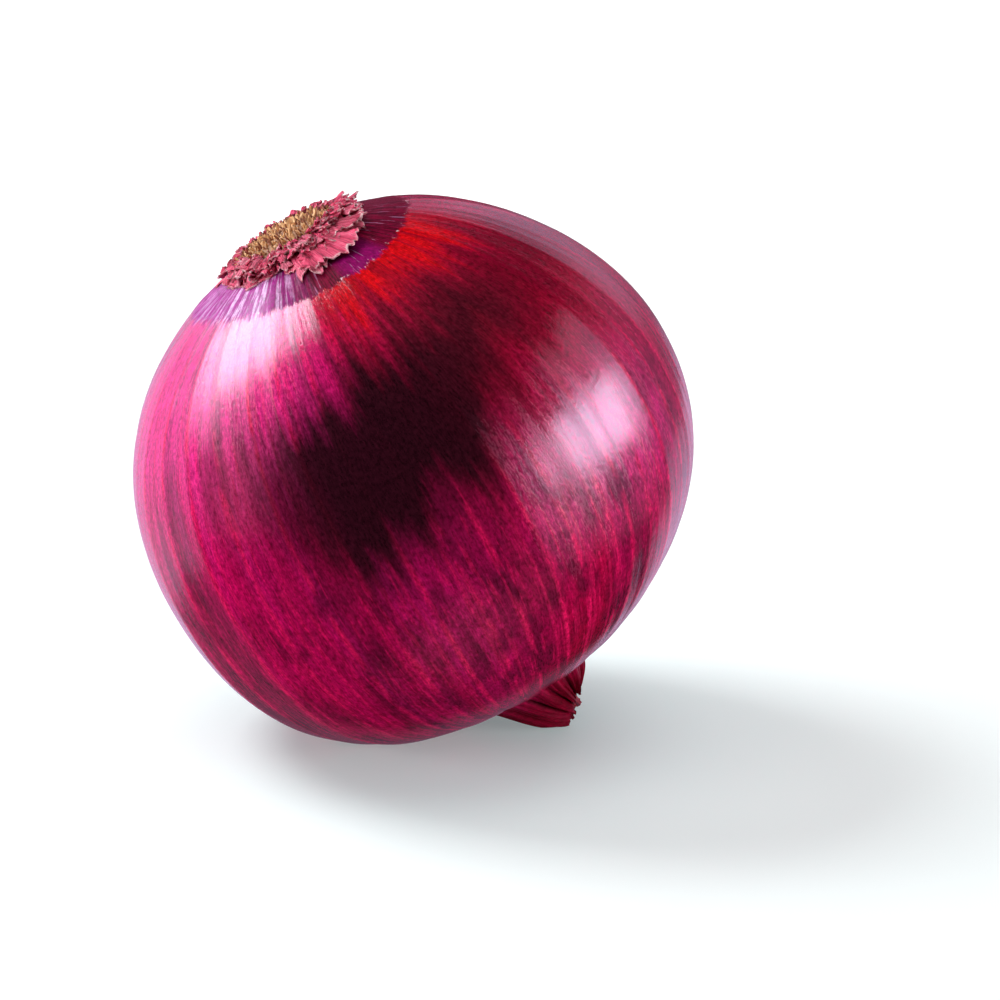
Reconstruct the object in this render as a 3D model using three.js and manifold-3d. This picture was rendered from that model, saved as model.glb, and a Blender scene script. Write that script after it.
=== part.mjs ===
// A whole red onion in its dry skin, lying as it comes to rest on a table: on the cheek of the bulb and on
// the tip of its short neck, with the root end up. Millimetres, +Z up, table at Z = 0. The neck leans to +X.
//
// Each piece is first made in the onion's own frame: +Z along its axis to the root end, origin in the middle
// of the widest ring, angles measured round the axis from +X. The whole group is then tilted and set down.

import * as THREE from "three";
import { mergeVertices } from "three/addons/utils/BufferGeometryUtils.js";
import Module from "manifold-3d";

// The bulb: a fat round body whose two ends differ, and which sags a little to the side that it lies on.
const BULB_RADIUS = 40;
const ROOT_HEIGHT = 38.5;
const ROOT_SHAPE = 1.98;
const ROOT_SAG = 0.92;
const NECK_HEIGHT = 35.4;
const NECK_SHAPE = 2.25;
const NECK_SAG = 2.48;
const RIB_HEIGHT = 0.12;

// The root end, a little off the axis: a flat seat under the collar, then a band of inner skin that lies bare
// inside the torn edge of the outer skin.
const ROOT_OFFSET_X = 1.4;
const ROOT_OFFSET_Y = -1.2;
const SEAT_RADIUS = 11.2;
const TORN_EDGE_HEIGHT = 32.9;
const TORN_EDGE_WAVE = 0.8;
const SKIN_STEP = 0.45;

// The neck: a pinched cone of gathered skin, bent a little and cut off aslant.
const NECK_START = 34;
const NECK_BASE_RADIUS = 9.6;
const NECK_TIP = 42.1;
const NECK_TIP_RADIUS = 2.1;
const NECK_CURVE = 0.76;
const NECK_FILLET = 2;
const NECK_BEND = 4;
const NECK_BEND_START = 31;
const CUT_SLANT = 2.2;
const CUT_HOLLOW = 1.2;
const NECK_FOLDS = 15;
const NECK_FOLD_HEIGHT = 0.55;

// The collar of torn skin bases, and the plate of dry root stubs inside it.
const COLLAR_LONG_SIDE = -1.05;
const COLLAR_LOPSIDED = 0.3;
const COLLAR_TOP_RADIUS = 9;
const COLLAR_TOP = 38.5;
const PLATE_RADIUS = 8.2;
const PLATE_DOME = 0.9;
const STUB_COUNT = 100;

// Skin flakes are thicker than life so that each one is a sound solid.
const FLAKE_THICKNESS = 0.6;
const GAP = 0.3;

// How the onion lies.
const TILT = 29.2;
const REST_HEIGHT = 38.6;

// Mesh fineness.
const AROUND = 84;
const BODY_RINGS = 24;
const BAND_RINGS = 4;

const TAU = 2 * Math.PI;
const { clamp, degToRad, lerp, smoothstep, seededRandom } = THREE.MathUtils;
seededRandom(20);
const between = (low, high) => lerp(low, high, seededRandom());

const wasm = await Module();
wasm.setup();

// A three.js geometry as a solid, for joining and cutting.
function solidOf(geometry) {
  const bare = geometry.clone();
  for (const name of Object.keys(bare.attributes)) if (name !== "position") bare.deleteAttribute(name);
  const merged = mergeVertices(bare, 1e-4);
  return new wasm.Manifold(
    new wasm.Mesh({
      numProp: 3,
      vertProperties: new Float32Array(merged.attributes.position.array),
      triVerts: new Uint32Array(merged.index.array),
    }),
  );
}

// A solid back as a three.js geometry.
function geometryOf(solid) {
  const mesh = solid.getMesh();
  const geometry = new THREE.BufferGeometry();
  geometry.setAttribute("position", new THREE.BufferAttribute(mesh.vertProperties, 3));
  geometry.setIndex(new THREE.BufferAttribute(mesh.triVerts, 1));
  geometry.computeVertexNormals();
  return geometry;
}

// A solid with any pocket filled that is closed in between its parts.
function filled(solid) {
  return solid.decompose().reduce((best, shell) => (shell.volume() > best.volume() ? shell : best));
}

// An uneven wave round the axis: the sum of a few cosines with drawn phases, from pairs of count and size.
function unevenWave(...pairs) {
  const terms = pairs.map(([count, size]) => ({ count, size, phase: between(0, TAU) }));
  return (angle) => terms.reduce((sum, t) => sum + t.size * Math.cos(t.count * angle + t.phase), 0);
}

// The larger of two lengths, with the corner between them rounded over a width.
function roundedMax(a, b, width) {
  const near = Math.max(width - Math.abs(a - b), 0) / width;
  return Math.max(a, b) + (near * near * width) / 4;
}

// Radius of the fat body at a height above the widest ring (below it where negative).
function bodyRadius(height) {
  const reach = height > 0 ? ROOT_HEIGHT : NECK_HEIGHT;
  const shape = height > 0 ? ROOT_SHAPE : NECK_SHAPE;
  return BULB_RADIUS * Math.max(1 - Math.abs(height / reach) ** shape, 0) ** (1 / shape);
}

// Radius of body and neck together.
function outlineRadius(height) {
  const along = (-height - NECK_START) / (NECK_TIP - NECK_START);
  if (along < -0.5) return bodyRadius(height);
  const cone = NECK_TIP_RADIUS + (NECK_BASE_RADIUS - NECK_TIP_RADIUS) * Math.max(1 - along, 0) ** NECK_CURVE;
  return roundedMax(bodyRadius(height), cone, NECK_FILLET);
}

// Height at which the root side has a radius.
function rootSideHeight(radius) {
  return ROOT_HEIGHT * (1 - (radius / BULB_RADIUS) ** ROOT_SHAPE) ** (1 / ROOT_SHAPE);
}

// The bulb's outline from the rim of the root seat over the widest ring to the rim of the cut neck.
class Meridian extends THREE.Curve {
  constructor() {
    super();
    this.arcLengthDivisions = 800;
  }
  getPoint(t, target = new THREE.Vector2()) {
    if (t > 0.5) {
      const height = -NECK_TIP * (2 * t - 1);
      return target.set(outlineRadius(height), height);
    }
    const start = Math.asin((SEAT_RADIUS / BULB_RADIUS) ** (ROOT_SHAPE / 2));
    const turn = lerp(start, Math.PI / 2, 2 * t);
    return target.set(
      BULB_RADIUS * Math.sin(turn) ** (2 / ROOT_SHAPE),
      ROOT_HEIGHT * Math.max(Math.cos(turn), 0) ** (2 / ROOT_SHAPE),
    );
  }
}

const meridian = new Meridian();
const SEAT_HEIGHT = rootSideHeight(SEAT_RADIUS);
const ribs = unevenWave([11, 0.5], [17, 0.6], [27, 0.5]);
const tornEdge = unevenWave([5, 0.5], [13, 0.3], [31, 0.35], [40, 0.3]);
const foldSpread = unevenWave([2, 0.35], [5, 0.25]);
const cutJag = unevenWave([7, 0.35], [19, 0.3], [33, 0.25]);

// Share of the outline's length at which the outer skin is torn off.
function tornShare(angle) {
  const height = TORN_EDGE_HEIGHT + TORN_EDGE_WAVE * tornEdge(angle);
  let low = 0;
  let high = 0.5;
  for (let step = 0; step < 24; step += 1) {
    const middle = (low + high) / 2;
    if (meridian.getPointAt(middle).y > height) low = middle;
    else high = middle;
  }
  return low;
}

// A point of the bulb's surface, at a share of the outline's length and an angle round the axis.
function bulbPoint(share, angle, lift) {
  const { x: radius, y: height } = meridian.getPointAt(share);
  const tangent = meridian.getTangentAt(share);
  const towardNeck = smoothstep(-height, NECK_START + 2, NECK_TIP);
  const onBody = smoothstep(share, 0.12, 0.3) * (1 - smoothstep(-height, NECK_HEIGHT - 8, NECK_HEIGHT));
  const onNeck = smoothstep(-height, NECK_START - 2, NECK_TIP - 2);
  const fold = Math.abs(Math.sin((NECK_FOLDS * angle) / 2 + foldSpread(angle))) - 0.6;
  const out = lift + RIB_HEIGHT * onBody * ribs(angle) + NECK_FOLD_HEIGHT * onNeck * fold;
  const r = radius - tangent.y * out;
  const cut = towardNeck * (CUT_SLANT * Math.cos(angle) + 0.4 * cutJag(angle));
  const rise = height + tangent.x * out + cut;
  return new THREE.Vector3(r * Math.cos(angle), r * Math.sin(angle), rise).add(sectionMiddle(height));
}

// The middle of the section at a height, which wanders off the axis.
function sectionMiddle(z) {
  if (z > 0) {
    const sag = ROOT_SAG * Math.sin(Math.PI * (z / BULB_RADIUS) ** 2);
    const aside = (z / SEAT_HEIGHT) ** 4;
    return new THREE.Vector3(ROOT_OFFSET_X * aside - sag, ROOT_OFFSET_Y * aside, 0);
  }
  const sag = NECK_SAG * Math.sin(Math.PI * (-z / 48) ** 2.3);
  const bend = clamp((-z - NECK_BEND_START) / (NECK_TIP - NECK_BEND_START), 0, 1) ** 1.1;
  return new THREE.Vector3(NECK_BEND * bend - sag, 0, 0);
}

// The bulb's skin as a sphere whose rings are laid along the outline: seat, inner skin, step up to the outer
// skin, body, neck, and the hollowed cut.
function bulbSkin() {
  const seatRings = 2;
  const first = seatRings + BAND_RINGS;
  const last = first + 1 + BODY_RINGS;
  const rings = last + 2;
  const skin = new THREE.SphereGeometry(1, AROUND, rings);
  const position = skin.attributes.position;
  const spot = new THREE.Vector3();
  for (let k = 0; k < position.count; k += 1) {
    const ring = Math.floor(k / (AROUND + 1));
    const angle = (TAU * (k % (AROUND + 1))) / AROUND;
    const torn = tornShare(angle);
    if (ring < seatRings) {
      const radius = (SEAT_RADIUS * ring) / seatRings;
      spot.set(radius * Math.cos(angle), radius * Math.sin(angle), SEAT_HEIGHT);
      spot.add(sectionMiddle(SEAT_HEIGHT));
    } else if (ring <= first) {
      const along = (ring - seatRings) / BAND_RINGS;
      spot.copy(bulbPoint(torn * along, angle, -SKIN_STEP * smoothstep(along, 0, 0.4)));
    } else if (ring <= last) {
      const along = (ring - first - 1) / BODY_RINGS;
      spot.copy(bulbPoint(lerp(torn + 0.002, 1, along ** 0.92), angle, 0));
    } else {
      const radius = ring === last + 1 ? 0.55 * NECK_TIP_RADIUS : 0;
      const height = CUT_HOLLOW - NECK_TIP + (radius / NECK_TIP_RADIUS) * CUT_SLANT * Math.cos(angle);
      spot.set(radius * Math.cos(angle), radius * Math.sin(angle), height);
      spot.add(sectionMiddle(-NECK_TIP));
    }
    position.setXYZ(k, spot.x, spot.y, spot.z);
  }
  return skin;
}

// One flake of dry skin: a curved blade with a torn end. It starts a little below y = 0, runs along +Y and
// curls towards -Z, and its width lies along X.
function flake({ width, length, curl, cup, columns = 3, rows = 2, thickness = FLAKE_THICKNESS }) {
  const sink = 0.8;
  const teeth = Array.from({ length: columns + 1 }, () => between(0.72, 1.05));
  const lean = between(-0.15, 0.15);
  const points = [];
  const faces = [];
  for (const side of [1, -1]) {
    for (let row = 0; row <= rows; row += 1) {
      for (let column = 0; column <= columns; column += 1) {
        const across = (2 * column) / columns - 1;
        const along = row / rows;
        const reach = along * lerp(1, teeth[column], along) * length;
        const turn = curl * (reach / length);
        const spread = width * (0.42 + 0.16 * Math.sin(Math.PI * Math.min(along + 0.15, 1)));
        const forward = curl ? (length * Math.sin(turn)) / curl : reach;
        const drop = curl ? (length * (1 - Math.cos(turn))) / curl : 0;
        const half = (side * thickness * lerp(1, 0.8, along)) / 2;
        points.push(
          spread * across + lean * forward,
          (row === 0 ? -sink : 0) + forward + half * Math.sin(turn),
          -drop + half * Math.cos(turn) - cup * across * across,
        );
      }
    }
  }
  const index = (side, row, column) => (side * (rows + 1) + row) * (columns + 1) + column;
  const quad = (a, b, c, d) => faces.push(a, b, c, a, c, d);
  for (let row = 0; row < rows; row += 1) {
    for (let column = 0; column < columns; column += 1) {
      for (const side of [0, 1]) {
        const corners = [
          index(side, row, column),
          index(side, row, column + 1),
          index(side, row + 1, column + 1),
          index(side, row + 1, column),
        ];
        if (side === 1) corners.reverse();
        quad(...corners);
      }
    }
  }
  for (let row = 0; row < rows; row += 1) {
    quad(index(0, row, 0), index(0, row + 1, 0), index(1, row + 1, 0), index(1, row, 0));
    const c = columns;
    quad(index(0, row + 1, c), index(0, row, c), index(1, row, c), index(1, row + 1, c));
  }
  for (let column = 0; column < columns; column += 1) {
    quad(index(0, 0, column + 1), index(0, 0, column), index(1, 0, column), index(1, 0, column + 1));
    const r = rows;
    quad(index(0, r, column), index(0, r, column + 1), index(1, r, column + 1), index(1, r, column));
  }
  const geometry = new THREE.BufferGeometry();
  geometry.setAttribute("position", new THREE.Float32BufferAttribute(points, 3));
  geometry.setIndex(faces);
  return geometry;
}

// Turns a flake so that it starts at a radius and height and points outward, dipping by an angle.
function outward(geometry, { angle, radius, height, dip, roll = 0 }) {
  geometry.rotateY(roll);
  geometry.rotateX(-dip);
  geometry.translate(0, radius, height);
  geometry.rotateZ(angle - Math.PI / 2);
  return geometry;
}

// Lifts a placed flake wherever it would come closer to the bulb than the gap.
function laidOn(geometry) {
  const position = geometry.attributes.position;
  const half = position.count / 2;
  for (let k = 0; k < half; k += 1) {
    const under = k + half;
    const radius = Math.hypot(position.getX(under), position.getY(under));
    const clear = rootSideHeight(Math.max(radius - 0.3, SEAT_RADIUS)) + GAP + 0.08;
    const lift = Math.max(clear - position.getZ(under), 0);
    position.setZ(k, position.getZ(k) + lift);
    position.setZ(under, position.getZ(under) + lift);
  }
  return geometry;
}

// The bulb with the torn ends of the neck's skin layers on its cut, and one tongue of skin under the neck.
function bulb() {
  let solid = solidOf(bulbSkin());
  const layers = [
    { count: 10, radius: 1.75, length: 1.3, width: 1.3, splay: 0.05 },
    { count: 3, radius: 0.7, length: 1.5, width: 1, splay: 0.05 },
  ];
  const middle = sectionMiddle(-NECK_TIP);
  for (const layer of layers) {
    for (let k = 0; k < layer.count; k += 1) {
      const angle = (TAU * (k + between(-0.25, 0.25))) / layer.count;
      const blade = flake({
        width: layer.width,
        length: layer.length * between(0.7, 1.25),
        curl: between(-0.3, 0.5),
        cup: 0.1,
        columns: 2,
        rows: 2,
      });
      const rim = -NECK_TIP + 0.8 + (CUT_SLANT * layer.radius * Math.cos(angle)) / NECK_TIP_RADIUS;
      outward(blade, { angle, radius: layer.radius, height: rim, dip: Math.PI / 2 - layer.splay });
      solid = solid.add(solidOf(blade).translate(middle.x, middle.y, 0));
    }
  }
  const tongue = flake({ width: 2.2, length: 5, curl: 0, cup: 0.2 });
  outward(tongue, { angle: Math.PI, radius: 4, height: 0.45 - NECK_TIP, dip: Math.PI - degToRad(TILT) });
  return solid.add(solidOf(tongue));
}

// The collar: a low cap on the seat, shingled with the torn bases of the outer skins.
function skinCollar() {
  const base = SEAT_HEIGHT + GAP;
  const recess = COLLAR_TOP - 0.7;
  const profile = [
    [0, base],
    [SEAT_RADIUS - 1, base],
    [SEAT_RADIUS - 0.8, base + 0.4],
    [COLLAR_TOP_RADIUS, COLLAR_TOP - 0.3],
    [PLATE_RADIUS + GAP, COLLAR_TOP],
    [PLATE_RADIUS + GAP - 0.2, recess],
    [0, recess],
  ].map(([r, z]) => new THREE.Vector2(r, z));
  let solid = solidOf(new THREE.LatheGeometry(profile, 48).rotateX(Math.PI / 2));
  const tiers = [
    { count: 20, radius: 9.7, height: base + 0.75, length: 3.3, width: 3.9, dip: 0.35 },
    { count: 18, radius: 9.4, height: base + 1.3, length: 3.2, width: 3.5, dip: 0.45 },
    { count: 16, radius: 9.1, height: base + 1.75, length: 2.9, width: 3, dip: 0.4 },
  ];
  for (const tier of tiers) {
    for (let k = 0; k < tier.count; k += 1) {
      const angle = (TAU * (k + between(-0.2, 0.2))) / tier.count;
      const blade = flake({
        width: tier.width * between(0.8, 1.15),
        length: tier.length * between(0.7, 1) * (1 + COLLAR_LOPSIDED * Math.cos(angle - COLLAR_LONG_SIDE)),
        curl: between(-0.1, 0.35),
        cup: between(-0.05, 0.2),
      });
      const dip = tier.dip + between(-0.2, 0.1);
      outward(blade, { angle, radius: tier.radius, height: tier.height, dip, roll: between(-0.12, 0.12) });
      solid = solid.add(solidOf(laidOn(blade)));
    }
  }
  const middle = sectionMiddle(SEAT_HEIGHT);
  return filled(solid).translate(middle.x, middle.y, 0);
}

// The plate: a low dome bristling with short dry root stubs, set on a spiral so that they cover it evenly.
function rootPlate() {
  const base = COLLAR_TOP - 0.7 + GAP;
  const edge = PLATE_RADIUS - 0.1;
  const dome = (r) => base + 0.5 + PLATE_DOME * (1 - (r / edge) ** 2);
  const profile = [
    [0, base],
    [edge - 0.2, base],
    [edge, base + 0.4],
    [0.8 * edge, dome(0.8 * edge)],
    [0.5 * edge, dome(0.5 * edge)],
    [0.2 * edge, dome(0.2 * edge)],
    [0, dome(0)],
  ].map(([r, z]) => new THREE.Vector2(r, z));
  let solid = solidOf(new THREE.LatheGeometry(profile, 32).rotateX(Math.PI / 2));
  const goldenAngle = Math.PI * (3 - Math.sqrt(5));
  for (let k = 0; k < STUB_COUNT; k += 1) {
    const radius = (edge - 0.7) * Math.sqrt((k + 0.5) / STUB_COUNT);
    const angle = k * goldenAngle + between(-0.15, 0.15);
    const length = between(0.9, 1.7);
    const stub = new THREE.CylinderGeometry(between(0.12, 0.26), between(0.36, 0.5), length, 3, 1);
    stub.rotateX(Math.PI / 2).translate(0, 0, length / 2 - 0.4);
    stub.rotateZ(between(0, TAU)).rotateY(between(-0.2, 0.3) + 0.15 * (radius / edge));
    stub.translate(radius, 0, dome(radius)).rotateZ(angle);
    solid = solid.add(solidOf(stub));
  }
  const middle = sectionMiddle(SEAT_HEIGHT);
  return solid.translate(middle.x, middle.y, 0);
}

const pieces = [
  { name: "bulb", make: bulb, color: 0x7d0b2b, roughness: 0.35 },
  { name: "skin_collar", make: skinCollar, color: 0xb8365a, roughness: 0.7 },
  { name: "root_plate", make: rootPlate, color: 0xb07a45, roughness: 0.9 },
];

// The belly and the neck dip a hair below the table's plane and are flattened there, so that both rest on it.
function flattened(solid) {
  const below = new THREE.BoxGeometry(200, 200, 20).translate(0, 0, -REST_HEIGHT - 10);
  return solid.subtract(solidOf(below.rotateY(degToRad(TILT))));
}

const onion = new THREE.Group();
for (const { name, make, color, roughness } of pieces) {
  const material = new THREE.MeshStandardMaterial({ color, roughness, metalness: 0 });
  const mesh = new THREE.Mesh(geometryOf(flattened(make())), material);
  mesh.name = name;
  onion.add(mesh);
}
onion.rotation.y = -degToRad(TILT);

// Set down on the table, with the middle of its outline over the origin.
const middle = new THREE.Box3().setFromObject(onion, true).getCenter(new THREE.Vector3());
onion.position.set(-middle.x, -middle.y, REST_HEIGHT);

const scene = new THREE.Group();
scene.add(onion);

export default scene;
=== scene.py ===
"""A whole red onion in its dry skin, lying on its cheek and neck tip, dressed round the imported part.

The onion is shaped in millimetres in its own frame: +Z along its axis to the root end, the origin in the
middle of the widest ring, angles measured round the axis from +X. settle() then tilts it and sets it down.
"""

import math
import random

import bpy
import numpy as np
from mathutils import Matrix, Vector


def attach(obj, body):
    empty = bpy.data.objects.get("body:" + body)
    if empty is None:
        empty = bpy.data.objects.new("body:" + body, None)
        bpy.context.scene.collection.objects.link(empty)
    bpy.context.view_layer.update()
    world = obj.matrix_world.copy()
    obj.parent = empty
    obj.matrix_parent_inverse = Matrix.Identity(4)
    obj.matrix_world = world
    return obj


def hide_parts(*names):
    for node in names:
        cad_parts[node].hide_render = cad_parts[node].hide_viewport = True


bl_info = {
    "name": "Red onion",
    "version": (1, 0, 0),
    "blender": (4, 5, 0),
    "location": "3D View > Sidebar > Onion",
    "description": "Dresses the packed onion with its skins, torn collar, dry roots and a small studio",
    "category": "Object",
}

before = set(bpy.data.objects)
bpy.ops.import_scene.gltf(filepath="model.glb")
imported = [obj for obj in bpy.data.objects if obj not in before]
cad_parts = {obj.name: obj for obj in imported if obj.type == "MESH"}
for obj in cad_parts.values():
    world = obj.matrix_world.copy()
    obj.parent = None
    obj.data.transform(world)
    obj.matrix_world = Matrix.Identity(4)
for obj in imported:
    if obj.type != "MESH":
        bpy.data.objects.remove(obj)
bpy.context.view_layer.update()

MM = 0.001
TAU = 2 * math.pi

# The onion's body and neck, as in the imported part, in millimetres.
BULB_RADIUS = 40
ROOT_HEIGHT = 38.5
ROOT_SHAPE = 1.98
ROOT_SAG = 0.92
NECK_HEIGHT = 35.4
NECK_SHAPE = 2.25
NECK_SAG = 2.48
ROOT_OFFSET_X = 1.4
ROOT_OFFSET_Y = -1.2
SEAT_RADIUS = 11.2
NECK_START = 34
NECK_BASE_RADIUS = 9.6
NECK_TIP = 42.1
NECK_TIP_RADIUS = 2.1
NECK_CURVE = 0.76
NECK_FILLET = 2
NECK_BEND = 4
NECK_BEND_START = 31
NECK_BEND_POWER = 1.1
NECK_SAG_REACH = 48
NECK_SAG_POWER = 2.3
CUT_SLANT = 2.2
CUT_HOLLOW = 1.2
COLLAR_TOP = 38.5
LONG_SIDE = math.radians(-66)
PAINTED_SHEEN_SIDE = math.radians(-150)
COLLAR_REACH = 11.5
LONG_SIDE_REACH = 3.4
PLATE_RADIUS = 8.2

# Height of the outer skin's torn edge at angles round the axis, in degrees.
TORN_EDGE = (
    (-150, 35.1), (-120, 34.6), (-100, 34.0), (-64, 33.1), (-40, 33.5),
    (-19, 34.2), (30, 34.6), (90, 33.6), (150, 34.4),
)

# How it lies: the tilt of its axis, and where the middle of its widest ring stands.
TILT = math.radians(29.2)
MIDDLE = (0.3616, -0.1202, 38.6)

# Veins of the dry skin: their angles, in degrees, and how far the skin stands out there, from -1 to 1.
VEINS = (
    (-175, 0.3), (-166, -0.3), (-157, 0.4), (-146, -0.3), (-135, 0.5), (-124, 0.4), (-112, 0.5),
    (-102, 0.8), (-92, -0.2), (-84, 0.6), (-77, -0.5), (-67, 0.5), (-60, -0.4), (-51, 0.3), (-45, -0.2),
    (-38, 0.1), (-29, 0.9), (-20, -0.5), (-13, 0.5), (-4, -0.3), (6, 0.4), (17, -0.5), (26, 0.5),
    (34, -0.1), (45, 0.6), (55, -0.4), (63, 0.4), (74, -0.6), (83, 0.2), (95, 0.8), (104, -0.4),
    (113, 0.3), (125, -0.5), (133, 0.5), (142, -0.3), (153, 0.7), (164, -0.4), (173, 0.1),
)
FINE_VEINS = 84
NECK_FOLDS = 15
FINE_NECK_FOLDS = 37

# Seeds of the random draws.
SKIN_SEED = 11
COLLAR_SEED = 29
CORE_SEED = 5
ROOT_SEED = 41
CUT_SEED = 53

# Rings and columns of the bulb's skin, and the angle past which an edge of any piece is sharp.
AROUND = 460
INNER_RINGS = 18
BODY_RINGS = 186
CREASE_ANGLE = math.radians(60)

# Tiers of torn flakes, from those that hug the bulb to the shreds at the root plate. For each: how many, how
# far out from the axis and up from the seat they start, their reach as a share, their width, dip and curl.
COLLAR_TIERS = (
    (24, 9.3, 0.4, 1.0, 3.6, 0.38, 0.1),
    (24, 8.8, 0.8, 0.95, 3.3, 0.38, 0.15),
    (26, 8.2, 1.2, 0.88, 2.8, 0.36, 0.15),
    (30, 7.7, 1.5, 0.80, 2.2, 0.3, 0.1),
    (44, 7.3, 1.75, 0.72, 1.3, 0.15, 0.0),
    (64, 6.9, 1.9, 0.66, 0.8, -0.1, 0.0),
)
SMALL_TIERS = (4, 5)
SCRAPS = 110
STUB_KINDS = 6
STUB_REACH = 7.5

# Tints of small details: the bare band, the specks, the flakes, the roots and the neck's cut, with painted
# shade and highlight among them.
BAND_WINE = (0.17, 0.0008, 0.022)
BAND_DUSK = (0.07, 0.0008, 0.012)
BAND_MAUVE = (0.26, 0.002, 0.12)
BAND_FLECK = (0.45, 0.2, 0.38)
FRINGE = (0.75, 0.6, 0.68)
SPECK_DARK = (0.5, 0.45, 0.5)
SPECK_LIGHT = (1.5, 1.7, 1.6)
FLAKE_DEEP = (0.3, 0.008, 0.03)
FLAKE_TIP = (0.85, 0.6, 0.62)
PAINTED_PLEAT_SHADE = (0.17, 0.006, 0.02)
PAINTED_PLEAT_HIGHLIGHT = (0.9, 0.17, 0.3)
GRAIN_DARK = (0.2, 0.008, 0.022)
GRAIN_LIGHT = (0.95, 0.26, 0.38)
ROOT_RED = (0.5, 0.05, 0.07)
ROOT_BROWN = (0.3, 0.1, 0.04)
ROOT_FOOT_SHADE = (0.09, 0.02, 0.015)
CUT_RED = (0.30, 0.004, 0.016)
CUT_BROWN = (0.07, 0.002, 0.01)
CUT_FOOT_SHADE = (0.03, 0.001, 0.006)

# The photograph's camera: its distance in metres and its angle over the table, then its focal length, the
# width and middle of the picture and the place of the onion's middle, in pixels of the photograph. The
# sensor is in millimetres, and the floor round it all in metres.
CAMERA_DISTANCE = 0.8
CAMERA_ELEVATION = math.radians(17.2)
FOCAL_LENGTH = 5643
PICTURE_WIDTH = 1000
PICTURE_MIDDLE = 500
ONION_ACROSS = 415.0
ONION_DOWN = 467.3
SENSOR_WIDTH = 36
FLOOR_SIZE = 4.4

# Soft boxes: names, directions in degrees, widths and heights, and tints. A white box shades the onion and
# isn't seen in its gloss, and a tinted one is seen only there.
LIGHT_DISTANCE = 1.6
LIGHT_AIM = Vector((0, 0, 0.038))
WHITE = (1, 1, 1)
COOL = (0.86, 0.86, 1.0)
PINKISH = (0.88, 0.72, 1.0)
LAVENDER = (0.85, 0.66, 1.0)
LIGHTS = (
    ("key_box", 150, 46, (0.7, 0.7), WHITE),
    ("side_light", -166, 2, (0.9, 0.9), WHITE),
    ("right_light", -18, 3, (0.8, 0.8), WHITE),
    ("table_bounce", -52, -55, (1.2, 1.2), WHITE),
    ("overhead_light", 90, 79, (2.0, 2.0), WHITE),
    ("left_gloss", 156, 36, (1.0, 0.84), COOL),
    ("left_gloss_low", 166, 16, (1.0, 0.4), PINKISH),
    ("left_halo", 128, -2, (2.0, 1.8), LAVENDER),
    ("right_gloss", -8, 17, (1.3, 0.56), PINKISH),
    ("right_gloss_high", 8, 36, (1.0, 0.6), PINKISH),
    ("right_halo", -8, -4, (2.0, 1.2), LAVENDER),
    ("right_wall", 60, 0, (1.6, 1.7), LAVENDER),
    ("high_wall", 76, 17, (1.3, 0.6), LAVENDER),
    ("low_wall", 60, -20, (1.0, 0.6), LAVENDER),
    ("table_gleam", 115, -42, (2.4, 1.2), LAVENDER),
)


# Shape of the onion


def smooth(x, low, high):
    """Runs from 0 at low to 1 at high with soft ends."""
    t = np.clip((x - low) / (high - low), 0, 1)
    return t * t * (3 - 2 * t)


def vectors(x, y, z):
    """Stacks three coordinates, any of which may be one number for all, into points."""
    return np.stack(np.broadcast_arrays(x, y, z), -1)


def round_axis(radius, angle, height):
    return vectors(radius * np.cos(angle), radius * np.sin(angle), height)


def rounded_max(a, b, width):
    """The larger of two lengths, with the corner between them rounded over a width."""
    near = np.maximum(width - np.abs(a - b), 0) / width
    return np.maximum(a, b) + near * near * width / 4


def body_radius(height):
    reach = np.where(height > 0, ROOT_HEIGHT, NECK_HEIGHT)
    shape = np.where(height > 0, ROOT_SHAPE, NECK_SHAPE)
    return BULB_RADIUS * np.maximum(1 - np.abs(height / reach) ** shape, 0) ** (1 / shape)


def outline_radius(height):
    """Radius of body and neck together."""
    along = (-height - NECK_START) / (NECK_TIP - NECK_START)
    narrowing = np.maximum(1 - along, 0) ** NECK_CURVE
    cone = NECK_TIP_RADIUS + (NECK_BASE_RADIUS - NECK_TIP_RADIUS) * narrowing
    body = body_radius(height)
    return np.where(along < -0.5, body, rounded_max(body, cone, NECK_FILLET))


def root_side_height(radius):
    return ROOT_HEIGHT * (1 - (radius / BULB_RADIUS) ** ROOT_SHAPE) ** (1 / ROOT_SHAPE)


SEAT_HEIGHT = root_side_height(SEAT_RADIUS)


def section_middle(height):
    """The middle of the section at a height, which wanders off the axis."""
    height = np.asarray(height, float)
    up = np.maximum(height, 0)
    down = np.maximum(-height, 0)
    aside = (up / SEAT_HEIGHT) ** 4
    root_x = ROOT_OFFSET_X * aside - ROOT_SAG * np.sin(math.pi * (up / BULB_RADIUS) ** 2)
    bend = np.clip((down - NECK_BEND_START) / (NECK_TIP - NECK_BEND_START), 0, 1) ** NECK_BEND_POWER
    neck_x = NECK_BEND * bend - NECK_SAG * np.sin(math.pi * (down / NECK_SAG_REACH) ** NECK_SAG_POWER)
    x = np.where(height > 0, root_x, neck_x)
    y = np.where(height > 0, ROOT_OFFSET_Y * aside, 0)
    return vectors(x, y, 0)


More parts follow.
